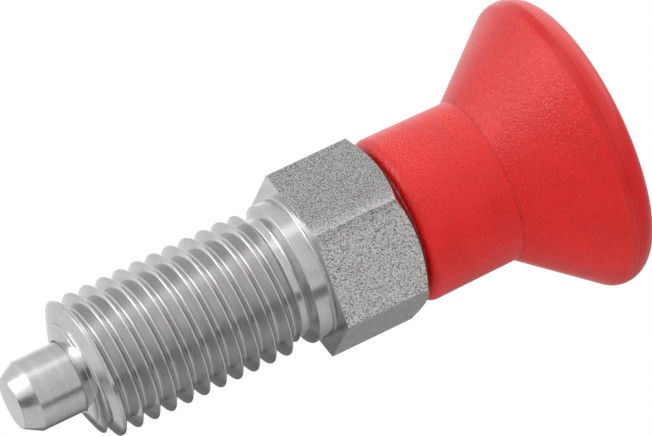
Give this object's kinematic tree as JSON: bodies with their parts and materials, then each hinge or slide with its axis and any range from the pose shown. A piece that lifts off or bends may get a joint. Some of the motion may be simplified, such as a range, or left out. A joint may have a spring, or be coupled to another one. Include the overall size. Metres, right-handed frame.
{
  "type": "indexing plunger",
  "caption": "Spring-loaded indexing plunger: threaded steel sleeve with hexagon collar, chamfered locking pin and red mushroom pull grip.",
  "frame": {"origin": "on the plunger's axis, in the seating face of the hexagon", "axes": "+Z along the axis from the locking pin towards the grip; +Y square to a flat of the hexagon"},
  "size_m": [0.025, 0.025, 0.054],
  "materials": {
    "sleeve_steel": "turned stainless steel, drawn grey flats on the hexagon",
    "pin_steel": "hardened and ground stainless steel",
    "spring_wire": "drawn stainless spring wire",
    "bush_steel": "turned stainless steel",
    "grip_plastic": "red moulded plastic with a fine leather-like grain"
  },
  "bodies": {
    "sleeve": {"threaded_sleeve": "sleeve_steel", "guide_bush": "bush_steel"},
    "spring": {"compression_spring": "spring_wire"},
    "plunger": {"indexing_pin": "pin_steel", "mushroom_grip": "grip_plastic"}
  },
  "joints": [
    {"name": "pull", "type": "slide", "parent": "sleeve", "child": "spring", "axis": [0, 0, 1], "range_m": [0, 0.006], "stiffness_N_per_m": 1300, "springref_m": -0.0047, "deforming": ["compression_spring"]},
    {"name": "turn", "type": "hinge", "parent": "spring", "child": "plunger", "pos_m": [0, 0, 0], "axis": [0, 0, 1], "continuous": true}
  ]
}
